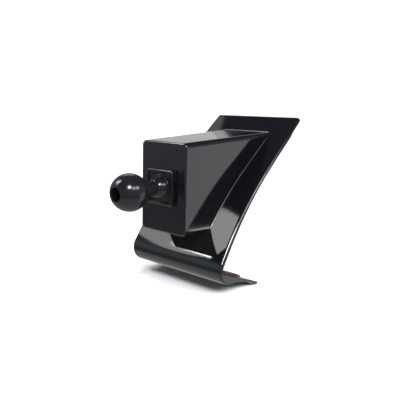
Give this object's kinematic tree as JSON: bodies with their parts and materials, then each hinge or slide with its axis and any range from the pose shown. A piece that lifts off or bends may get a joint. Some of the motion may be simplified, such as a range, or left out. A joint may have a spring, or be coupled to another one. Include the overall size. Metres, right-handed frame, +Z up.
{
  "type": "dashboard phone mount bracket with ball",
  "caption": "Black dashboard phone-holder bracket: curved back plate with hook lip, hollow pod and a ball stud on a square collar, stuck on with foam tape pads.",
  "frame": {"origin": "centre of the top tape pad's outer face, where the bracket is stuck to the dashboard", "axes": "+Z up as mounted, +Y into the dashboard with the ball stud pointing along -Y, +X to the right as seen from the seat"},
  "size_m": [0.06, 0.1023, 0.0804],
  "materials": {
    "gloss_shell": "mirror-gloss black moulding",
    "ball_plastic": "semi-gloss black moulding",
    "dark_steel": "black-oxide steel",
    "zinc_steel": "zinc-plated steel",
    "foam": "dark brown acrylic foam",
    "liner": "dull reddish-brown release film"
  },
  "bodies": {
    "root": {"bracket_shell": "gloss_shell", "ball_stud": "ball_plastic", "ball_screw": "dark_steel", "flat_washer": "zinc_steel", "hex_nut": "zinc_steel", "top_foam_pad": "foam", "top_liner": "liner", "left_foam_pad": "foam", "left_liner": "liner", "right_foam_pad": "foam", "right_liner": "liner", "hook_foam_pad": "foam", "hook_liner": "liner"}
  },
  "joints": []
}
